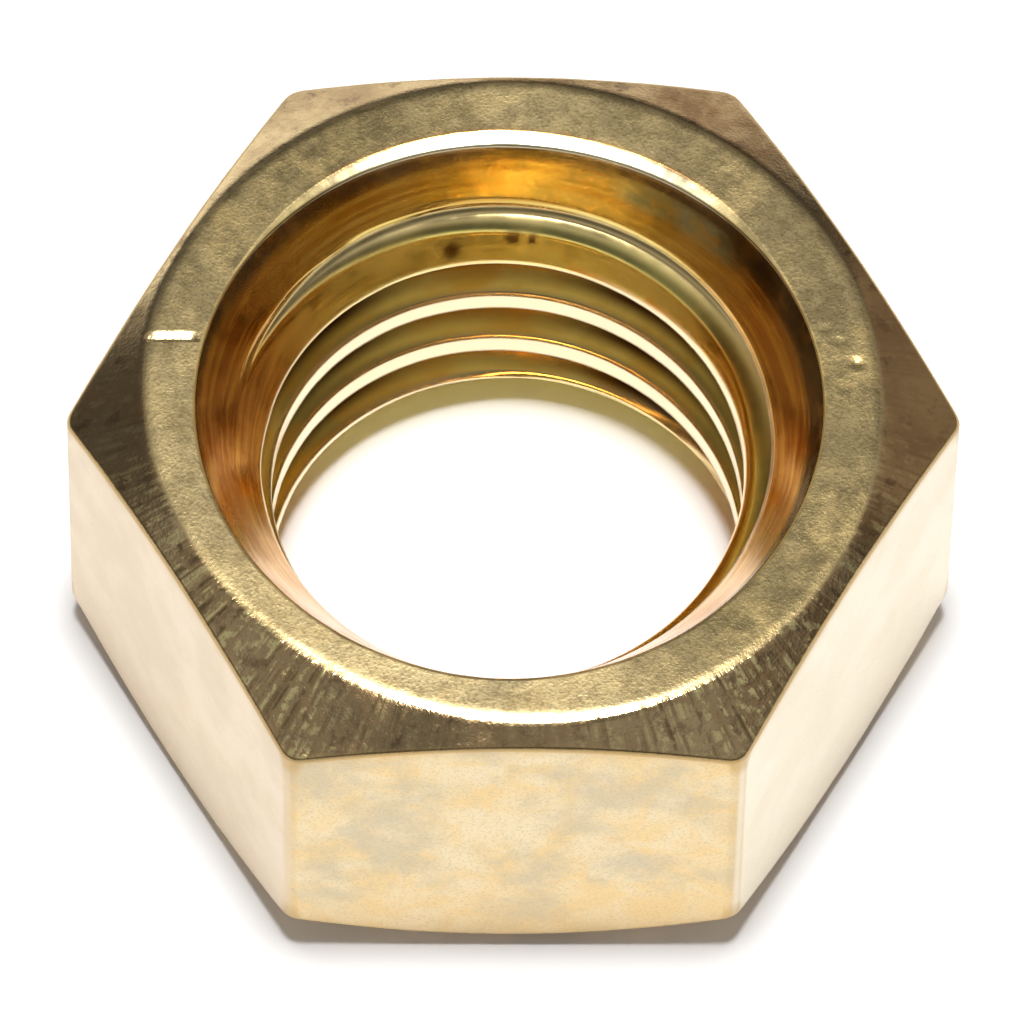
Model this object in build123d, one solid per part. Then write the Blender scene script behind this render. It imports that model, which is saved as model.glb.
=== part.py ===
from build123d import *
from build123d.topology import SkipClean

import math
import os

# Hexagon nut with a coarse right-hand thread, turned from hexagonal brass bar.
# Frame: +Z is the thread axis, the origin is the middle of the bottom bearing
# face, one flat faces -Y and two corners point along +X and -X. Millimetres.

ACROSS_FLATS = 14.0
HEIGHT = 7.4
CORNER_RADIUS = 0.4

THREAD_MAJOR = 10.0
THREAD_MINOR = 8.55
THREAD_PITCH = 1.5
THREAD_FLANK_ANGLE = 30.0
THREAD_ROOT_FLAT = THREAD_PITCH / 8
THREAD_START_Z = 1.025
THREAD_LEAD_IN_TURNS = 2
THREAD_TURNS = 8

TOP_FACE_DIAMETER = 13.25
TOP_CHAMFER_ANGLE = 25.0
BOTTOM_FACE_DIAMETER = 13.0
BOTTOM_CHAMFER_ANGLE = 30.0

TOP_SINK_DIAMETER = 11.3
TOP_SINK_HALF_ANGLE = 30.0
BOTTOM_SINK_DIAMETER = 10.4
BOTTOM_SINK_HALF_ANGLE = 45.0

BORE_SECTORS = 4
CUTTER_OVERLAP = 0.5
GROOVE_OVERLAP = 0.15


def slope(angle):
    """Rise over run of an angle in degrees."""
    return math.tan(math.radians(angle))


def hexagonal_bar():
    """The bar stock, with its six long edges softly broken."""
    with BuildPart() as bar:
        with BuildSketch():
            RegularPolygon(radius=ACROSS_FLATS / 2, side_count=6, major_radius=False)
        extrude(amount=HEIGHT)
        fillet(bar.edges().filter_by(Axis.Z), radius=CORNER_RADIUS)
    return bar.part


def turned_envelope():
    """The turned outline: flat faces and the chamfer cones that cut the corners."""
    outer = ACROSS_FLATS / math.sqrt(3) + CUTTER_OVERLAP
    top = TOP_FACE_DIAMETER / 2
    bottom = BOTTOM_FACE_DIAMETER / 2
    outline = [
        (0, 0),
        (bottom, 0),
        (outer, (outer - bottom) * slope(BOTTOM_CHAMFER_ANGLE)),
        (outer, HEIGHT - (outer - top) * slope(TOP_CHAMFER_ANGLE)),
        (top, HEIGHT),
        (0, HEIGHT),
    ]
    with BuildPart() as envelope:
        with BuildSketch(Plane.XZ):
            with BuildLine():
                Polyline(*outline, close=True)
            make_face()
        revolve(axis=Axis.Z)
    return envelope.part


def bore_sector(index):
    """One angular share of the tapping hole with both of its countersinks."""
    minor = THREAD_MINOR / 2
    top = TOP_SINK_DIAMETER / 2
    bottom = BOTTOM_SINK_DIAMETER / 2
    top_depth = (top - minor) / slope(TOP_SINK_HALF_ANGLE)
    bottom_depth = (bottom - minor) / slope(BOTTOM_SINK_HALF_ANGLE)
    top_flare = top + CUTTER_OVERLAP * slope(TOP_SINK_HALF_ANGLE)
    bottom_flare = bottom + CUTTER_OVERLAP * slope(BOTTOM_SINK_HALF_ANGLE)
    outline = [
        (0, -CUTTER_OVERLAP),
        (bottom_flare, -CUTTER_OVERLAP),
        (minor, bottom_depth),
        (minor, HEIGHT - top_depth),
        (top_flare, HEIGHT + CUTTER_OVERLAP),
        (0, HEIGHT + CUTTER_OVERLAP),
    ]
    angle = 360 / BORE_SECTORS
    with BuildPart() as sector:
        with BuildSketch(Plane.XZ.rotated((0, 0, index * angle))):
            with BuildLine():
                Polyline(*outline, close=True)
            make_face()
        revolve(axis=Axis.Z, revolution_arc=angle)
    return sector.part.solid()


def groove_turn():
    """One full turn of the helical groove between the thread crests."""
    minor = THREAD_MINOR / 2
    major = THREAD_MAJOR / 2
    inner = minor - GROOVE_OVERLAP
    root = THREAD_ROOT_FLAT / 2
    mouth = root + (major - inner) * slope(THREAD_FLANK_ANGLE)
    path = Helix(pitch=THREAD_PITCH, height=THREAD_PITCH, radius=minor)
    with BuildPart() as turn:
        with BuildSketch(Plane.XZ):
            with BuildLine():
                Polyline(
                    (inner, -mouth),
                    (major, -root),
                    (major, root),
                    (inner, mouth),
                    close=True,
                )
            make_face()
        sweep(path=path, is_frenet=True)
    return turn.part.solid()


def hex_nut():
    """The finished nut: bar, turned faces, tapping hole, then the thread turn by turn."""
    body = (hexagonal_bar() & turned_envelope()).solid()
    turn = groove_turn()
    with SkipClean():
        for index in range(BORE_SECTORS):
            body = body.cut(bore_sector(index)).solid()
        for index in range(THREAD_TURNS):
            rise = THREAD_START_Z + (index - THREAD_LEAD_IN_TURNS) * THREAD_PITCH
            body = body.cut(turn.moved(Location((0, 0, rise)))).solid()
    return body


os.makedirs("parts", exist_ok=True)
part = hex_nut()
part.label = "hex_nut"
export_step(part, "parts/hex_nut.step")
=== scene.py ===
import math

import bmesh
import bpy
import numpy as np
from mathutils import Euler, Matrix, Vector, noise

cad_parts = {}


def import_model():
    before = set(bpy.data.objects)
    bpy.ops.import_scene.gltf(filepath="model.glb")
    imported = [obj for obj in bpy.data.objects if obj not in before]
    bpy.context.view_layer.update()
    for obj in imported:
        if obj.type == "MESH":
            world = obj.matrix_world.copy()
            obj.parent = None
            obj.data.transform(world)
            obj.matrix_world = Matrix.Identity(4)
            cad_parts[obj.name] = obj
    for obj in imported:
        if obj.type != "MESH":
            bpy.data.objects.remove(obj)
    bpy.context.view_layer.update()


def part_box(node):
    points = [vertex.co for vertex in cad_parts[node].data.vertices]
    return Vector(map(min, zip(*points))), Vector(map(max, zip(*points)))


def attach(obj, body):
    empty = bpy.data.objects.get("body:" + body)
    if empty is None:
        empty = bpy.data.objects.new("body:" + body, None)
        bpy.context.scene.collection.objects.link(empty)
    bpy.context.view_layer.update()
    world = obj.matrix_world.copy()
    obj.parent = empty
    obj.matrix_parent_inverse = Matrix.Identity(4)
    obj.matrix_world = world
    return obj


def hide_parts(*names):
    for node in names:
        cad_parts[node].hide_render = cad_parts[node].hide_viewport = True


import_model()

MM = 0.001
NODE = "hex_nut"

# The nut, in millimetres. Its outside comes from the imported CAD.
LOW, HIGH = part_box(NODE)
HALF_FLATS = (HIGH.y - LOW.y) / 2 / MM
HEIGHT = (HIGH.z - LOW.z) / MM
CORNER_RADIUS = 0.40
TURNING_AXIS = np.array([-0.08, 0.17])

# Outer chamfers. The cone on top was turned about an axis of its own.
CONE_AXIS = np.array([0.03, 0.20])
TOP_RING = 6.64
TOP_SLOPE = math.tan(math.radians(25))
BOTTOM_RING = 6.5
BOTTOM_SLOPE = math.tan(math.radians(30))

# Countersinks. The upper one has a narrow facet round its lip.
SINK_FOOT = 4.573
SINK_FOOT_DEPTH = 1.86
SINK_LIMIT = math.tan(math.radians(29))
FACET = math.tan(math.radians(16.3))
LEAST_FACET_TILT = 0.3
BOTTOM_LIP = 5.2
BOTTOM_SINK = math.tan(math.radians(45))

# Thread. The first groove has a flatter lower flank and fades out near the top.
MINOR = 4.275
MAJOR = 5.0
PITCH = 1.5
FLANK = math.tan(math.radians(30))
SHELF = math.tan(math.radians(16.3))
ROOT_HALF = PITCH / 16
GROOVE_START = 1.025
SHELF_BLEND = (5.2, 5.6)
GROOVE_FADE = (6.05, 6.35)
GROOVE_FADE_DEPTH = 0.5
CREST_ROUNDING = 0.06

# Mesh rows and columns. Row offsets are heights from the middle of a groove.
TOP_LIP_DEPTH = 0.5
BOTTOM_LIP_DEPTH = 0.10
THREAD_ROWS = (-0.62, -0.53, -0.475, -0.40, -0.26, -0.14, -0.09, 0.0,
               0.09, 0.14, 0.26, 0.40, 0.475, 0.53, 0.62, 0.75)
PROFILE_STEPS = (1, 5, 4, 12, 14, 10, 4, 5)
ARC_STEPS = 7
COLUMNS = 480
CORNER_STEPS = (-1.6, -1.1, -0.7, -0.35, 0.0, 0.35, 0.7, 1.1, 1.6)
GOUGE_STEPS = np.arange(165.2, 171.0, 0.22)
LEAST_COLUMN_GAP = math.radians(0.12)
WELD = 2e-7

# Strength of the stains and of the paler metal on the six flats, from the one at 30 degrees.
STAINS = (0.5, 0.4, 0.5, 0.15, 1.0, 0.0)
PALE = (0.3, 0.3, 0.3, 0.0, 0.0, 1.0)

# Tables by direction: degrees from +X, then a strength or a length in millimetres.
# Top face: tarnished metal by direction, and painted sheen that makes the front brighter.
FACE_TARNISH_AND_SHEEN = ((0, 0.85), (40, 0.75), (60, 0.65), (90, 0.45), (120, 0.95), (150, 0.75),
                (180, 0.55), (225, 0.3), (255, 0.0), (275, 0.05), (292, 0.6), (310, 0.95),
                (335, 0.9), (360, 0.85))
# Chamfers: strength of a painted shade and dark reflection by direction.
CHAMFER_SHADE = ((0, 0.5), (30, 0.6), (60, 0.9), (90, 0.55), (120, 0.35), (150, 0.0),
                   (180, 0.7), (210, 0.55), (240, 0.6), (255, 0.65), (285, 0.65), (300, 0.55),
                   (330, 0.75), (360, 0.5))
# Depth below the top to which a painted shadow band under the upper lip reaches.
LIP_SHADOW_DEPTH = ((0, 0.50), (30, 0.55), (45, 0.40), (60, 0.32), (90, 0.26), (105, 0.32),
               (120, 0.40), (150, 0.38), (165, 0.20), (180, 0.07), (270, 0.05), (300, 0.08),
               (330, 0.28), (345, 0.42), (360, 0.50))
# Where the chamfers get tool marks and painted glints.
GLITTER = ((0, 0.15), (60, 0.1), (180, 0.15), (200, 0.7), (215, 1.0), (240, 1.0), (252, 0.4),
           (265, 0.1), (285, 0.4), (300, 1.0), (325, 1.0), (345, 0.4), (360, 0.15))
LIP_EDGE = ((0, 5.56), (30, 5.52), (60, 5.49), (75, 5.47), (90, 5.52), (105, 5.56),
            (120, 5.62), (150, 5.69), (180, 5.72), (210, 5.70), (240, 5.69), (270, 5.69),
            (300, 5.60), (330, 5.52), (360, 5.56))
LIP_FACET = ((0, 0.04), (28, 0.04), (52, 0.24), (100, 0.27), (128, 0.20), (146, 0.04),
             (360, 0.04))
RING_EDGE = ((0, 6.58), (30, 6.66), (60, 6.75), (90, 6.81), (120, 6.83), (150, 6.78),
             (165, 6.73), (180, 6.60), (195, 6.49), (210, 6.41), (225, 6.36), (240, 6.36),
             (255, 6.40), (270, 6.49), (285, 6.59), (300, 6.63), (330, 6.58), (360, 6.58))
SMOOTHING = (-8, -4, 0, 4, 8)

# Where marks start, are full, fade and end: directions in degrees, heights and depths.
# Directions of the back of the upper sink; elsewhere the sink is painted darker amber as shade.
BACK_OF_SINK = (25, 55, 125, 165)
# Directions of a painted glint on the thread flanks at the back.
FLANK_GLINT = (62, 88, 106, 132)
PATINA = (36, 44, 64, 74)
PATINA_DEPTH = (0.20, 0.35, 0.60, 0.85)
# Heights over which a painted reflection in the lower part of the upper sink fades out.
LOW_SINK_REFLECTION = (5.65, 5.85)
FIRST_GROOVE = (5.3, 5.6)
# Heights over which a painted shade at the foot of the flats fades out.
FLAT_FOOT_SHADE = (0.2, 2.4)

# Spots: x, y, z and radius. The gouge: first and last x, middle y, width and depth.
# Dings: x, y, radius and depth.
SPOTS = ((-1.09, 4.53, 5.3, 0.15), (0.02, 4.70, 5.45, 0.13), (0.38, 4.68, 5.42, 0.08))
SPOT_STRENGTH = 1.6
GOUGE = (-6.60, -5.72, 1.41, 0.20, 0.055)
GOUGE_END = 0.05
DINGS = ((5.61, 1.59, 0.08, 0.020), (5.84, 1.33, 0.09, 0.025), (6.17, 0.87, 0.13, 0.040),
         (-6.02, -2.95, 0.08, 0.015), (3.9, 4.9, 0.10, 0.015), (-3.6, 5.5, 0.10, 0.012))
BURR = 0.12
BEND_SCALE = 4

COLOURS = {
    # The paler colour for the topmost groove is a painted highlight.
    "thread": (1.0, 0.66, 0.13), "worn thread": (1.0, 0.54, 0.07), "first groove highlight": (1.0, 0.78, 0.36),
    # The colour of the thread roots is painted shade.
    "root": (0.085, 0.026, 0.005), "land": (0.92, 0.78, 0.54),
    # The bright colour for the lower part of the sink is a painted reflection.
    "sink": (0.78, 0.60, 0.16), "sink streak": (0.56, 0.34, 0.05), "sink foot reflection": (1.0, 0.88, 0.26),
    # The amber colours paint shade on the sides of the sink.
    "amber": (0.66, 0.27, 0.03), "amber streak": (0.90, 0.48, 0.07), "lip shadow": (0.10, 0.06, 0.035),
    "patina": (0.34, 0.40, 0.30), "spot": (0.10, 0.04, 0.01),
    "bright face": (0.97, 0.76, 0.39), "bright cloud": (0.82, 0.61, 0.29),
    "dark face": (0.50, 0.37, 0.16), "dark cloud": (0.24, 0.185, 0.085),
    "face grain": (0.26, 0.20, 0.09), "face speck": (0.90, 0.74, 0.42),
    # The brown chamfer colour is painted shade, laid on by direction.
    "chamfer": (0.98, 0.74, 0.40), "brown chamfer": (0.34, 0.20, 0.09), "chamfer cloud": (0.22, 0.13, 0.08),
    # The bright flecks are painted glints on the chamfers.
    "fleck glint": (1.0, 0.84, 0.40), "pit": (0.14, 0.11, 0.04),
    "stained": (0.76, 0.63, 0.40), "stain patch": (0.76, 0.55, 0.25), "stain blotch": (0.56, 0.48, 0.33),
    # The colour for the foot of the flats is painted shade.
    "stain grain": (0.50, 0.40, 0.24), "flat foot shade": (0.80, 0.54, 0.22),
    "flat": (0.70, 0.575, 0.42), "pale flat": (0.78, 0.69, 0.53), "flat speck": (0.46, 0.36, 0.24),
    # The colours for the facet round the upper lip and for the crests are painted highlights.
    "lip facet highlight": (0.95, 0.84, 0.56), "facet border line": (0.50, 0.22, 0.05), "crest highlight": (0.92, 0.80, 0.52),
    # The darkest colour here is painted shade for the hollows.
    "arris": (0.50, 0.33, 0.13), "hollow shade": (0.16, 0.07, 0.02),
}

# Studio. Angles are in degrees and lengths in metres.
FLOOR_HALF = 1.2
FLOOR_SHADE = 0.94
FLOOR_ROUGHNESS = 0.6
SKY = ((0.0, 0.95), (0.20, 1.00), (0.32, 0.38), (0.46, 0.07), (0.68, 0.12), (0.86, 0.38),
       (0.94, 0.13), (1.0, 0.3))
CAMERA_ELEVATION = 58.87
CAMERA_TURN = 1.40
CAMERA_ROLL = 1.35
CAMERA_DISTANCE = 0.2506
CAMERA_LENS = 491.5
CAMERA_SENSOR = 36
CAMERA_TILT = 0.4434391675634738
CAMERA_PAN = 0.007991900524028825


def smooth_step(low, high, value):
    t = np.clip((value - low) / (high - low), 0, 1)
    return t * t * (3 - 2 * t)


def window(value, start, full, fade, end):
    """Rises from 0 to 1 between start and full, and falls back between fade and end."""
    return smooth_step(start, full, value) * smooth_step(-end, -fade, -value)


def outline_distance(x, y):
    """Signed distance from the rounded hexagon, with corners on +X and -X."""
    apothem = HALF_FLATS - CORNER_RADIUS
    turn = np.mod(np.arctan2(y, x), math.pi / 3) - math.pi / 6
    radius = np.hypot(x, y)
    along, across = radius * np.cos(turn), np.abs(radius * np.sin(turn))
    half_side = apothem * math.tan(math.pi / 6)
    beyond = np.maximum(across - half_side, 0)
    return np.where(along > apothem, np.hypot(along - apothem, beyond), along - apothem) - CORNER_RADIUS


def outline_radius(angles):
    """How far the hexagon's outline is from the turning axis in each direction."""
    low, high = np.full(len(angles), 5.0), np.full(len(angles), 9.5)
    for _ in range(40):
        middle = (low + high) / 2
        x = TURNING_AXIS[0] + middle * np.cos(angles)
        y = TURNING_AXIS[1] + middle * np.sin(angles)
        outside = outline_distance(x, y) > 0
        high = np.where(outside, middle, high)
        low = np.where(outside, low, middle)
    return (low + high) / 2


def column_angles():
    """Directions of the mesh columns, closer together at the corners."""
    angles = [2 * math.pi * i / COLUMNS for i in range(COLUMNS)]
    for k in range(6):
        corner = HALF_FLATS / math.cos(math.pi / 6)
        x = corner * math.cos(k * math.pi / 3) - TURNING_AXIS[0]
        y = corner * math.sin(k * math.pi / 3) - TURNING_AXIS[1]
        middle = math.atan2(y, x) % (2 * math.pi)
        angles += [(middle + math.radians(d)) % (2 * math.pi) for d in CORNER_STEPS]
    angles += [math.radians(d) for d in GOUGE_STEPS]
    angles = np.array(sorted(angles))
    keep = np.append(True, np.diff(angles) > LEAST_COLUMN_GAP)
    return angles[keep]


ANGLES = column_angles()
OUTLINE = outline_radius(ANGLES)


def rounded(corners, counts, arc_steps):
    """Points of one profile line with its inner corners rounded.

    corners holds radius, height and tangent length arrays; counts says how
    many steps each straight stretch has.
    """
    points = [corners[0][:2]]
    for i in range(1, len(corners)):
        r0, z0, t0 = corners[i - 1]
        r1, z1, t1 = corners[i]
        length = np.hypot(r1 - r0, z1 - z0)
        start = np.minimum(t0, length * 0.45) / length
        end = 1 - np.minimum(t1, length * 0.45) / length
        for s in range(1, counts[i - 1] + 1):
            f = start + (end - start) * s / counts[i - 1]
            points.append((r0 + (r1 - r0) * f, z0 + (z1 - z0) * f))
        if i == len(corners) - 1:
            continue
        r2, z2, _ = corners[i + 1]
        following = np.hypot(r2 - r1, z2 - z1)
        a = points[-1]
        f = np.minimum(t1, following * 0.45) / following
        b = (r1 + (r2 - r1) * f, z1 + (z2 - z1) * f)
        for s in range(1, arc_steps + 1):
            w = s / arc_steps
            points.append(tuple((1 - w) ** 2 * a[k] + 2 * w * (1 - w) * (r1, z1)[k] + w * w * b[k]
                                for k in (0, 1)))
    return points


def smooth_max(a, b, width=0.05):
    """The larger of two lengths, with the change from one to the other rounded off."""
    blend = np.maximum(width - np.abs(a - b), 0) / width
    return np.maximum(a, b) + blend * blend * width / 4


def around(table, angles):
    """A table of directions and lengths, read at these angles and smoothed over a few degrees."""
    degrees = np.degrees(angles)
    values = [np.interp(np.mod(degrees + step, 360), *zip(*table)) for step in SMOOTHING]
    return sum(values) / len(SMOOTHING)


def from_axis(table, angles):
    """A table of radii about the middle of the nut, as radii about the turning axis."""
    return around(table, angles) - TURNING_AXIS[0] * np.cos(angles) - TURNING_AXIS[1] * np.sin(angles)


def lip_shape(angles):
    """Radius, facet width and facet drop of the upper countersink's lip."""
    width = around(LIP_FACET, angles)
    drop = width * FACET * np.maximum(np.sin(angles), LEAST_FACET_TILT)
    return from_axis(LIP_EDGE, angles), width, drop


def sink_radius(angles, z):
    """Radius of the upper countersink cone at one height."""
    lip, _, drop = lip_shape(angles)
    rate = np.minimum((lip - SINK_FOOT) / (SINK_FOOT_DEPTH - drop), SINK_LIMIT)
    return lip - (HEIGHT - drop - z) * rate


def bore_radius(angle, z):
    """Radius of the threaded, countersunk hole at one height."""
    shift = np.mod(z - GROOVE_START - PITCH * angle / (2 * math.pi) + PITCH / 2, PITCH) - PITCH / 2
    first = smooth_step(*SHELF_BLEND, z - shift)
    flank = np.where(shift < 0, FLANK + (SHELF - FLANK) * first, FLANK)
    groove = MAJOR - np.maximum(np.abs(shift) - ROOT_HALF, 0) / flank
    groove -= smooth_step(*GROOVE_FADE, z) * GROOVE_FADE_DEPTH
    wall = smooth_max(np.full_like(groove, MINOR), groove, CREST_ROUNDING)
    bottom = BOTTOM_LIP - z * BOTTOM_SINK
    return smooth_max(smooth_max(wall, sink_radius(angle, z)), bottom)


def cone_distance(radius):
    """Distance from the upper chamfer's own axis to the points at this radius in each column."""
    x = TURNING_AXIS[0] - CONE_AXIS[0] + radius * np.cos(ANGLES)
    y = TURNING_AXIS[1] - CONE_AXIS[1] + radius * np.sin(ANGLES)
    return np.hypot(x, y)


def outside_rows():
    """Rows from the bottom lip, round the outside, to the top lip."""
    flat = np.ones(len(ANGLES))
    lip, width, drop = lip_shape(ANGLES)
    lower_foot = BOTTOM_LIP - BOTTOM_LIP_DEPTH * BOTTOM_SINK
    lower_edge = (OUTLINE - BOTTOM_RING) * BOTTOM_SLOPE
    upper_edge = HEIGHT - (cone_distance(OUTLINE) - TOP_RING) * TOP_SLOPE
    sink_top = HEIGHT - TOP_LIP_DEPTH
    corners = [
        (lower_foot * flat, BOTTOM_LIP_DEPTH * flat, 0 * flat),
        (BOTTOM_LIP * flat, 0 * flat, 0.06 * flat),
        (BOTTOM_RING * flat, 0 * flat, 0.10 * flat),
        (OUTLINE, lower_edge, 0.08 * flat),
        (OUTLINE, upper_edge, 0.07 * flat),
        (from_axis(RING_EDGE, ANGLES), HEIGHT * flat, 0.17 * flat),
        (lip + width, HEIGHT * flat, 0.04 * flat),
        (lip, HEIGHT - drop, 0.05 * flat),
        (sink_radius(ANGLES, sink_top), sink_top * flat, 0 * flat),
    ]
    return rounded(corners, PROFILE_STEPS, ARC_STEPS)


def bore_rows():
    """Rows down the hole that follow the thread, as radius and height arrays."""
    rows = []
    turns = int(HEIGHT / PITCH) + 3
    for turn in range(-2, turns):
        for offset in THREAD_ROWS:
            z = GROOVE_START + PITCH * (turn + ANGLES / (2 * math.pi)) + offset
            z = np.clip(z, BOTTOM_LIP_DEPTH, HEIGHT - TOP_LIP_DEPTH)
            rows.append((bore_radius(ANGLES, z), z))
    return rows


def nut_mesh():
    """The whole nut as one closed mesh of rows and columns."""
    outer = outside_rows()
    inner = bore_rows()
    rows = outer + inner[::-1]
    n_out, n_in, n_col = len(outer), len(inner), len(ANGLES)
    radius = np.array([r for r, z in rows])
    height = np.array([z for r, z in rows])
    x = TURNING_AXIS[0] + radius * np.cos(ANGLES)
    y = TURNING_AXIS[1] + radius * np.sin(ANGLES)
    vertices = np.stack([x, y, height], axis=-1).reshape(-1, 3)
    step = len(THREAD_ROWS)

    def index(row, column):
        """Vertex of a grid point. Past the last column, thread rows join the row one turn on."""
        if column == n_col:
            column = 0
            if row >= n_out:
                k = n_out + n_in - 1 - row + step
                row = n_out + n_in - 1 - min(k, n_in - 1)
        return row * n_col + column

    faces = []
    total = n_out + n_in
    for row in range(total):
        below = (row + 1) % total
        for column in range(n_col):
            faces.append((index(row, column), index(row, column + 1),
                          index(below, column + 1), index(below, column)))
    return vertices, faces


def vertex_arrays(mesh):
    """Positions in millimetres, normals and edge ends as arrays."""
    positions = np.empty(len(mesh.vertices) * 3)
    mesh.vertices.foreach_get("co", positions)
    normals = np.empty(len(mesh.vertices) * 3)
    mesh.vertices.foreach_get("normal", normals)
    ends = np.empty(len(mesh.edges) * 2, dtype=int)
    mesh.edges.foreach_get("vertices", ends)
    return positions.reshape(-1, 3) / MM, normals.reshape(-1, 3), ends.reshape(-1, 2)


def curvature(positions, normals, ends):
    """Mean curvature per millimetre at each vertex: above zero where the surface bulges."""
    a, b = ends[:, 0], ends[:, 1]
    gap = positions[a] - positions[b]
    bend = ((normals[a] - normals[b]) * gap).sum(1) / np.maximum((gap * gap).sum(1), 1e-9)
    total = np.zeros(len(positions))
    count = np.zeros(len(positions))
    for end in (a, b):
        np.add.at(total, end, bend)
        np.add.at(count, end, 1)
    return total / np.maximum(count, 1)


def outer_zones(r, z, edge, angles):
    """Flats, turned faces, chamfers and the facet round the upper lip."""
    upper = z > HEIGHT / 2
    ring = np.where(upper, from_axis(RING_EDGE, angles), BOTTOM_RING)
    lip_edge, width, _ = lip_shape(angles)
    inner = np.where(upper, lip_edge + width, BOTTOM_LIP)
    flats = smooth_step(-0.07, -0.01, edge)
    chamfers = smooth_step(-0.03, 0.07, r - ring) * (1 - flats)
    faces = smooth_step(-0.02, 0.02, r - inner) * smooth_step(-0.07, 0.03, ring - r)
    faces *= smooth_step(-0.05, -0.01, np.abs(z - HEIGHT / 2) - HEIGHT / 2)
    # The facet round the upper lip, where a highlight is painted.
    rim = smooth_step(0.15, 0.28, width) * upper * smooth_step(-0.04, 0.0, r - lip_edge)
    # A thin orange-brown line along the outer border of the facet round the upper lip.
    facet_border = rim * np.exp(-((r - inner) / 0.035) ** 2)
    rim *= smooth_step(-0.02, 0.02, inner - r)
    return {"flats": flats, "chamfers": chamfers, "faces": faces, "rim": rim, "facet_border": facet_border,
            "glitter": around(GLITTER, angles) * chamfers * upper}


def bore_zones(r, z, angles, turn):
    """Countersinks, thread lands, groove depth, the painted shadow under the lip and the marks inside the
    hole.
    """
    lip_edge, _, drop = lip_shape(angles)
    cone = sink_radius(angles, z)
    off_land = r > MINOR + 0.05
    sinks = smooth_step(-0.06, -0.01, cone - r) * smooth_step(-0.08, 0.02, -np.abs(cone - r)) * off_land
    lower = BOTTOM_LIP - z * BOTTOM_SINK
    sinks += smooth_step(-0.06, -0.01, lower - r) * off_land * (z < 1.2)
    depth = HEIGHT - z - drop
    # Band just under the upper lip where a shadow is painted.
    lip = smooth_step(-0.02, 0.02, depth) * (r < lip_edge + 0.01)
    lip *= smooth_step(-0.15, 0.15, around(LIP_SHADOW_DEPTH, angles) - depth)
    first = smooth_step(*FIRST_GROOVE, z)
    # Groove depth, which sets the painted shade in the thread roots.
    depths = (r - np.maximum(MINOR, cone)) / (MAJOR - MINOR) * (z > 0.6) * (r < 5.2)
    return {"sinks": sinks, "lip": lip, "first": first, "depths": depths * (1 - 0.9 * first),
            "lands": smooth_step(MINOR + 0.05, MINOR + 0.01, r) * (1 - sinks),
            "patina": window(turn, *PATINA) * (r < lip_edge) * window(depth, *PATINA_DEPTH)}


def zones(p):
    """How far each vertex belongs to each part of the surface and to each kind of mark."""
    x, y, z = p[:, 0], p[:, 1], p[:, 2]
    r = np.hypot(x - TURNING_AXIS[0], y - TURNING_AXIS[1])
    angles = np.arctan2(y - TURNING_AXIS[1], x - TURNING_AXIS[0])
    turn = np.mod(np.degrees(np.arctan2(y, x)), 360)
    sector = (turn // 60).astype(int)
    zone = outer_zones(r, z, outline_distance(x, y), angles)
    zone.update(bore_zones(r, z, angles, turn))
    spots = [np.exp(-(((p - np.array(spot[:3])) / spot[3]) ** 2).sum(1)) for spot in SPOTS]
    zone.update({
        "stains": np.choose(sector, STAINS),
        "pale": np.choose(sector, PALE),
        # Tarnished metal on the top face, and painted sheen towards the front.
        "tarnish_and_sheen": np.interp(turn, *zip(*FACE_TARNISH_AND_SHEEN)),
        # Painted shade on the chamfers, by direction.
        "brown": around(CHAMFER_SHADE, angles),
        # Sides and front of the upper sink, painted darker amber as shade.
        "side": 1 - window(turn, *BACK_OF_SINK),
        # Painted glint on the thread flanks at the back.
        "flank_glint": window(turn, *FLANK_GLINT),
        # Lower part of the upper sink, where a brighter reflection is painted.
        "low": 1 - smooth_step(*LOW_SINK_REFLECTION, z),
        # Foot of the flats, where shade is painted.
        "foot": 1 - smooth_step(*FLAT_FOOT_SHADE, z),
        "spots": sum(spots) * SPOT_STRENGTH,
    })
    return zone


def ripple(points, scale, seed):
    """Smooth noise between about -1 and 1, with features of the given size and a fixed seed."""
    shift = Vector((seed * 13.7, seed * 5.1, seed * 9.3))
    return np.array([noise.noise(Vector(p) / scale + shift) for p in points])


def wear(p, normals, zone):
    """Real dents, waviness and the gouge across the top face, as distances along the normal."""
    up = smooth_step(0.3, 0.8, normals[:, 2]) * smooth_step(HEIGHT - 0.9, HEIGHT - 0.5, p[:, 2])
    move = 0.004 * ripple(p, 1.1, 1) + 0.0025 * ripple(p, 0.32, 2)
    rough = np.clip(ripple(p, 0.9, 3) + 0.15, 0, 1)
    move += (0.0056 * zone["faces"] + 0.004 * zone["chamfers"]) * rough * ripple(p, 0.17, 4)
    move += 0.004 * zone["rim"] * ripple(p, 0.24, 6)
    x0, x1, y, width, depth = GOUGE
    along = window(p[:, 0], x0 - GOUGE_END, x0 + GOUGE_END, x1 - GOUGE_END, x1 + GOUGE_END)
    across = (p[:, 1] - y) / width + 0.5
    groove = np.where((across > 0) & (across < 1), 1 - across, 0) * smooth_step(0, 0.12, across)
    move -= up * along * depth * groove
    for x, y, radius, depth in DINGS:
        away = np.hypot(p[:, 0] - x, p[:, 1] - y) / radius
        move -= up * depth * np.clip(1 - away * away, 0, 1)
        move += up * depth * BURR * np.exp(-((away - 1.15) / 0.25) ** 2)
    return move


def keep_inside(p):
    """Clamps the worn surface to the CAD model's box."""
    low, high = np.array(LOW) / MM, np.array(HIGH) / MM
    return np.clip(p, low, high)


def store(mesh, name, values):
    """Keeps one strength per vertex, between 0 and 1, for the material to read."""
    mesh.attributes.new(name, "FLOAT", "POINT").data.foreach_set("value", np.clip(values, 0, 1))


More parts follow.
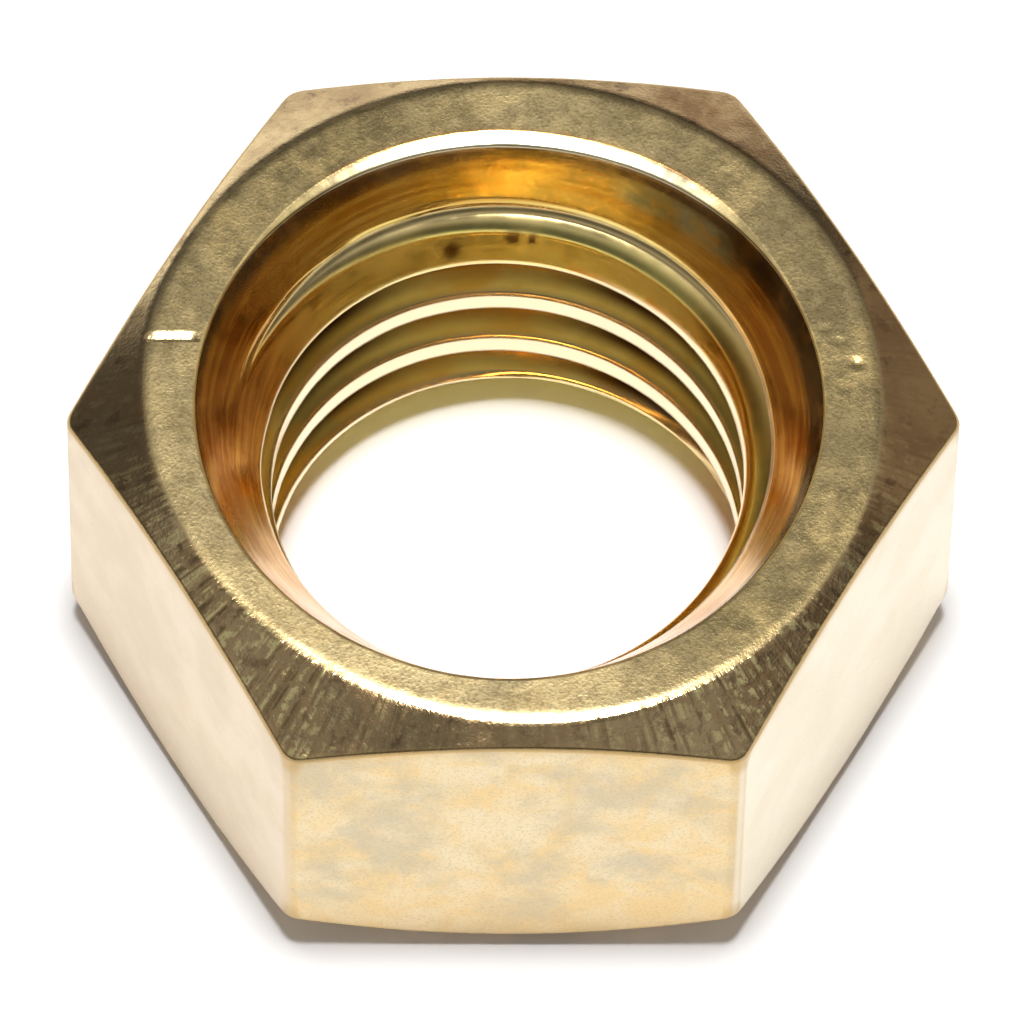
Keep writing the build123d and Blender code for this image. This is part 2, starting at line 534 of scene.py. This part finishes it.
def make_nut():
    """The worn nut, with its zones stored on the mesh."""
    vertices, faces = nut_mesh()
    mesh = bpy.data.meshes.new("hex_nut_detail")
    mesh.from_pydata([Vector(v) * MM for v in vertices], [], faces)
    bm = bmesh.new()
    bm.from_mesh(mesh)
    bmesh.ops.remove_doubles(bm, verts=bm.verts, dist=WELD)
    bmesh.ops.dissolve_degenerate(bm, edges=bm.edges, dist=WELD)
    bmesh.ops.recalc_face_normals(bm, faces=bm.faces)
    bm.to_mesh(mesh)
    bm.free()
    mesh.polygons.foreach_set("use_smooth", [True] * len(mesh.polygons))
    p, normals, ends = vertex_arrays(mesh)
    zone = zones(p)
    worn = keep_inside(p + normals * wear(p, normals, zone)[:, None])
    mesh.vertices.foreach_set("co", (worn * MM).ravel())
    mesh.update()
    for name, values in zone.items():
        store(mesh, name, values)
    bend = curvature(p, normals, ends) / BEND_SCALE
    inside = (p[:, 2] < 6.1) & (np.hypot(p[:, 0], p[:, 1]) < 5.3)
    # Convex edges and crests inside the hole, where a highlight is painted.
    store(mesh, "edges", bend * inside)
    store(mesh, "arris", bend * (outline_distance(p[:, 0], p[:, 1]) > -0.12))
    # Concave places, where shade is painted.
    store(mesh, "hollows", -bend * (1 - 0.85 * zone["first"]))
    piece = bpy.data.objects.new("brass_hex_nut", mesh)
    bpy.context.scene.collection.objects.link(piece)
    return piece


class Graph:
    """Short calls for the nodes of one material."""

    def __init__(self, name):
        self.material = bpy.data.materials.new(name)
        self.material.use_nodes = True
        self.nodes = self.material.node_tree.nodes
        self.links = self.material.node_tree.links
        self.shader = self.nodes["Principled BSDF"]
        self.place = self.nodes.new("ShaderNodeTexCoord").outputs["Object"]
        self.attributes = {}

    def put(self, socket, value):
        """Links a socket to another one, or sets its value or its named colour."""
        if isinstance(value, bpy.types.NodeSocket):
            self.links.new(value, socket)
        elif isinstance(value, str):
            socket.default_value = (*COLOURS[value], 1)
        else:
            socket.default_value = value

    def attribute(self, name):
        if name not in self.attributes:
            node = self.nodes.new("ShaderNodeAttribute")
            node.attribute_name = name
            self.attributes[name] = node.outputs["Fac"]
        return self.attributes[name]

    def math(self, operation, a, b=0.0, clamp=False):
        node = self.nodes.new("ShaderNodeMath")
        node.operation = operation
        node.use_clamp = clamp
        self.put(node.inputs[0], a)
        self.put(node.inputs[1], b)
        return node.outputs[0]

    def times(self, a, b):
        return self.math("MULTIPLY", a, b)

    def add(self, a, b, clamp=False):
        return self.math("ADD", a, b, clamp)

    def mix(self, factor, a, b):
        """Colour a where the factor is 0 and colour b where it is 1."""
        node = self.nodes.new("ShaderNodeMix")
        node.data_type = "RGBA"
        self.put(node.inputs["Factor"], factor)
        self.put(node.inputs[6], a)
        self.put(node.inputs[7], b)
        return node.outputs[2]

    def noise(self, size, detail, roughness, stretch=(1, 1, 1), distortion=0.0):
        """Noise with features of about this many millimetres."""
        scale = self.nodes.new("ShaderNodeMapping")
        self.put(scale.inputs["Vector"], self.place)
        scale.inputs["Scale"].default_value = [1 / (size * MM * s) for s in stretch]
        node = self.nodes.new("ShaderNodeTexNoise")
        self.put(node.inputs["Vector"], scale.outputs[0])
        node.inputs["Scale"].default_value = 1.0
        node.inputs["Detail"].default_value = detail
        node.inputs["Roughness"].default_value = roughness
        node.inputs["Distortion"].default_value = distortion
        return node.outputs["Fac"]

    def streaks(self, size):
        """Noise drawn out along the radius, with features of about this many millimetres at the rim."""
        level = self.nodes.new("ShaderNodeVectorMath")
        level.operation = "MULTIPLY"
        self.put(level.inputs[0], self.place)
        level.inputs[1].default_value = (1, 1, 0)
        turn = self.nodes.new("ShaderNodeVectorMath")
        turn.operation = "NORMALIZE"
        self.put(turn.inputs[0], level.outputs[0])
        node = self.nodes.new("ShaderNodeTexNoise")
        self.put(node.inputs["Vector"], turn.outputs[0])
        node.inputs["Scale"].default_value = TOP_RING / size
        node.inputs["Detail"].default_value = 3.0
        return node.outputs["Fac"]

    def between(self, value, low, high, to_low=0.0, to_high=1.0):
        """A smooth step from one result to another as the value goes from low to high."""
        node = self.nodes.new("ShaderNodeMapRange")
        node.interpolation_type = "SMOOTHSTEP"
        self.put(node.inputs["Value"], value)
        node.inputs["From Min"].default_value = low
        node.inputs["From Max"].default_value = high
        node.inputs["To Min"].default_value = to_low
        node.inputs["To Max"].default_value = to_high
        return node.outputs["Result"]


def thread_colour(g, noise):
    base = g.mix(g.between(noise["blotch"], 0.4, 0.7), "thread", "worn thread")
    # The topmost groove is painted paler, as a painted highlight.
    base = g.mix(g.attribute("first"), base, "first groove highlight")
    # Painted shade in the thread roots: the deeper the groove, the darker.
    shade = g.between(g.attribute("depths"), 0.18, 0.55)
    # A painted glint lightens the root shade at the back.
    shade = g.times(shade, g.math("SUBTRACT", 1.0, g.times(g.attribute("flank_glint"), 0.55)))
    base = g.mix(shade, base, "root")
    return g.mix(g.attribute("lands"), base, "land")


def sink_colour(g, noise):
    rings, cloud = noise["rings"], noise["cloud"]
    sink = g.mix(g.between(rings, 0.38, 0.62), "sink", "sink streak")
    # Painted reflection: the lower part of the sink is brighter.
    sink = g.mix(g.attribute("low"), sink, "sink foot reflection")
    amber = g.mix(g.between(rings, 0.40, 0.64), "amber", "amber streak")
    # Painted shade: the sink is darker amber away from its brighter back.
    sink = g.mix(g.attribute("side"), sink, amber)
    # Painted shadow in a band just under the upper lip.
    lip = g.times(g.attribute("lip"), g.between(cloud, 0.30, 0.55, 0.75, 1.0))
    sink = g.mix(lip, sink, "lip shadow")
    patina = g.times(g.attribute("patina"), g.between(cloud, 0.40, 0.55, 0.3, 0.95))
    sink = g.mix(patina, sink, "patina")
    return g.mix(g.attribute("spots"), sink, "spot")


def face_colour(g, noise):
    cloudy = g.between(noise["cloud"], 0.38, 0.66)
    bright = g.mix(cloudy, "bright face", "bright cloud")
    dark = g.mix(cloudy, "dark face", "dark cloud")
    mottle = g.between(noise["blotch"], 0.35, 0.65, -0.25, 0.25)
    # Darker where tarnished; the brighter front is painted sheen.
    face = g.mix(g.add(g.attribute("tarnish_and_sheen"), mottle, clamp=True), bright, dark)
    face = g.mix(g.between(noise["grain"], 0.45, 0.70, 0.0, 0.5), face, "face grain")
    return g.mix(g.between(noise["fine"], 0.56, 0.75, 0.0, 0.5), face, "face speck")


def chamfer_colour(g, noise):
    scratches, speck, glitter = noise["scratches"], noise["speck"], g.attribute("glitter")
    mottle = g.between(noise["blotch"], 0.35, 0.65, -0.2, 0.2)
    # Painted shade on the chamfers by direction, with random mottling.
    shade_and_mottle = g.add(g.attribute("brown"), mottle, clamp=True)
    chamfer = g.mix(shade_and_mottle, "chamfer", "brown chamfer")
    chamfer = g.mix(g.between(noise["cloud"], 0.54, 0.68, 0.0, 0.6), chamfer, "chamfer cloud")
    # Painted glints: bright flecks where the chamfers glitter.
    glints = g.times(g.between(scratches, 0.44, 0.58), g.between(speck, 0.46, 0.58))
    chamfer = g.mix(g.times(glitter, glints), chamfer, "fleck glint")
    pits = g.times(g.between(scratches, 0.34, 0.48, 0.7, 0.0), g.between(speck, 0.40, 0.54))
    return g.mix(g.times(glitter, pits), chamfer, "pit")


def flat_colour(g, noise):
    stained = g.mix(g.between(noise["patches"], 0.34, 0.64), "stained", "stain patch")
    stained = g.mix(g.between(noise["blotch"], 0.44, 0.66, 0.0, 0.8), stained, "stain blotch")
    stained = g.mix(g.between(noise["grain"], 0.50, 0.68, 0.0, 0.5), stained, "stain grain")
    # Painted shade: the flats are darker and more orange towards the bottom.
    stained = g.mix(g.times(g.attribute("foot"), 0.4), stained, "flat foot shade")
    plain = g.mix(g.attribute("pale"), "flat", "pale flat")
    flat = g.mix(g.times(g.attribute("stains"), 0.9), plain, stained)
    return g.mix(g.between(noise["fine"], 0.54, 0.72, 0.0, 0.30), flat, "flat speck")


def brass_colour(g, noise):
    """All the surfaces put together, with painted highlights on the facet round the upper lip and on the
    edges and crests inside the hole, a darker line along the outer edges, and painted shade in the hollows.
    """
    colour = g.mix(g.attribute("sinks"), thread_colour(g, noise), sink_colour(g, noise))
    # Painted highlight on the facet round the upper lip.
    colour = g.mix(g.attribute("rim"), colour, "lip facet highlight")
    colour = g.mix(g.attribute("faces"), colour, face_colour(g, noise))
    colour = g.mix(g.attribute("chamfers"), colour, chamfer_colour(g, noise))
    colour = g.mix(g.attribute("flats"), colour, flat_colour(g, noise))
    colour = g.mix(g.attribute("facet_border"), colour, "facet border line")
    # Painted highlight on the edges and crests inside the hole.
    colour = g.mix(g.between(g.attribute("edges"), 0.15, 0.8, 0.0, 0.6), colour, "crest highlight")
    colour = g.mix(g.between(g.attribute("arris"), 0.15, 0.6, 0.0, 0.8), colour, "arris")
    # Painted shade in the hollows.
    return g.mix(g.between(g.attribute("hollows"), 0.05, 0.5, 0.0, 0.85), colour, "hollow shade")


def brass_roughness(g, noise):
    roughness = g.add(0.19, g.times(g.attribute("faces"), 0.09))
    roughness = g.add(roughness, g.times(g.attribute("flats"), 0.14))
    roughness = g.add(roughness, g.times(g.attribute("chamfers"), -0.05))
    return g.add(roughness, g.between(noise["blotch"], 0.35, 0.65, -0.05, 0.07))


def brass_relief(g, noise):
    """Fine relief on top of the real dents: grain all over, tool marks in the sink and chamfers."""
    relief = g.add(g.times(g.attribute("faces"), 0.7), g.times(g.attribute("chamfers"), 0.5))
    relief = g.add(relief, g.add(0.15, g.times(g.attribute("flats"), 0.3)))
    height = g.times(relief, g.add(noise["grain"], g.times(noise["cloud"], 1.2)))
    height = g.add(height, g.times(g.times(g.attribute("sinks"), noise["rings"]), 0.6))
    marks = g.times(g.attribute("glitter"), g.add(noise["scratches"], noise["speck"]))
    return g.add(height, g.times(marks, 2.4))


def brass():
    """Turned brass with tarnished patches, stains and tool marks, and with painted shade, highlights,
    glints and reflections.
    """
    g = Graph("brass")
    noise = {
        "blotch": g.noise(1.5, 5, 0.62),
        "cloud": g.noise(0.45, 4, 0.6),
        "patches": g.noise(0.9, 4, 0.55, distortion=0.6),
        "grain": g.noise(0.055, 2, 0.5),
        "fine": g.noise(0.03, 2, 0.5),
        "speck": g.noise(0.20, 3, 0.6),
        "rings": g.noise(1.0, 2, 0.5, stretch=(4.0, 4.0, 0.13)),
        "scratches": g.streaks(0.13),
    }
    g.put(g.shader.inputs["Base Color"], brass_colour(g, noise))
    g.put(g.shader.inputs["Roughness"], brass_roughness(g, noise))
    g.shader.inputs["Metallic"].default_value = 1.0
    bump = g.nodes.new("ShaderNodeBump")
    bump.inputs["Distance"].default_value = 0.000012
    bump.inputs["Strength"].default_value = 0.4
    g.put(bump.inputs["Height"], brass_relief(g, noise))
    g.put(g.shader.inputs["Normal"], bump.outputs[0])
    return g.material


def floor():
    mesh = bpy.data.meshes.new("floor")
    size = FLOOR_HALF
    corners = [(-size, -size, 0), (size, -size, 0), (size, size, 0), (-size, size, 0)]
    mesh.from_pydata(corners, [], [(0, 1, 2, 3)])
    piece = bpy.data.objects.new("floor", mesh)
    bpy.context.scene.collection.objects.link(piece)
    paint = bpy.data.materials.new("floor")
    paint.use_nodes = True
    shader = paint.node_tree.nodes["Principled BSDF"]
    shader.inputs["Base Color"].default_value = (FLOOR_SHADE, FLOOR_SHADE, FLOOR_SHADE, 1)
    shader.inputs["Roughness"].default_value = FLOOR_ROUGHNESS
    mesh.materials.append(paint)


def world():
    """A soft grey sky whose brightness depends only on height."""
    sky = bpy.data.worlds.new("studio")
    sky.use_nodes = True
    nodes, links = sky.node_tree.nodes, sky.node_tree.links
    coordinates = nodes.new("ShaderNodeTexCoord")
    split = nodes.new("ShaderNodeSeparateXYZ")
    ramp = nodes.new("ShaderNodeValToRGB")
    links.new(coordinates.outputs["Generated"], split.inputs[0])
    links.new(split.outputs["Z"], ramp.inputs["Fac"])
    elements = ramp.color_ramp.elements
    for element, (position, value) in zip(elements, (SKY[0], SKY[-1])):
        element.position = position
        element.color = (value, value, value, 1)
    for position, value in SKY[1:-1]:
        elements.new(position).color = (value, value, value, 1)
    links.new(ramp.outputs["Color"], nodes["Background"].inputs["Color"])
    nodes["Background"].inputs["Strength"].default_value = 1.0
    bpy.context.scene.world = sky


def area_light(name, location, size, power, colour=(1, 1, 1)):
    """A round light that points at the middle of the floor."""
    data = bpy.data.lights.new(name, "AREA")
    data.shape = "DISK"
    data.size = size
    data.energy = power
    data.color = colour
    light = bpy.data.objects.new(name, data)
    light.location = location
    aim = Vector((0, 0, 0)) - Vector(location)
    light.rotation_euler = aim.to_track_quat("-Z", "Y").to_euler()
    bpy.context.scene.collection.objects.link(light)


def camera():
    elevation, turn = math.radians(CAMERA_ELEVATION), math.radians(CAMERA_TURN)
    target = Vector((0, 0, HEIGHT * MM))
    back = Vector((-math.sin(turn) * math.cos(elevation), -math.cos(turn) * math.cos(elevation),
                   math.sin(elevation)))
    data = bpy.data.cameras.new("camera")
    data.sensor_width = CAMERA_SENSOR
    data.lens = CAMERA_LENS
    data.clip_start = 0.01
    data.clip_end = 10
    eye = bpy.data.objects.new("camera", data)
    look = (-back).to_track_quat("-Z", "Y").to_matrix().to_4x4()
    roll = Matrix.Rotation(math.radians(CAMERA_ROLL), 4, "Z")
    aim = Euler((-math.radians(CAMERA_TILT), math.radians(CAMERA_PAN), 0)).to_matrix().to_4x4()
    eye.matrix_world = Matrix.Translation(target + back * CAMERA_DISTANCE) @ look @ roll @ aim
    bpy.context.scene.collection.objects.link(eye)
    bpy.context.scene.camera = eye


camera()
world()
floor()
area_light("overhead", (0.0, 0.0, 0.35), 0.085, 1.36)
area_light("right", (0.33, 0.26, 0.27), 0.30, 0.030, (1.0, 0.72, 0.50))
nut = make_nut()
nut.data.materials.append(brass())
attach(nut, "root")
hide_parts(NODE)
settings = bpy.context.scene.view_settings
settings.view_transform = "Standard"
settings.look = "None"
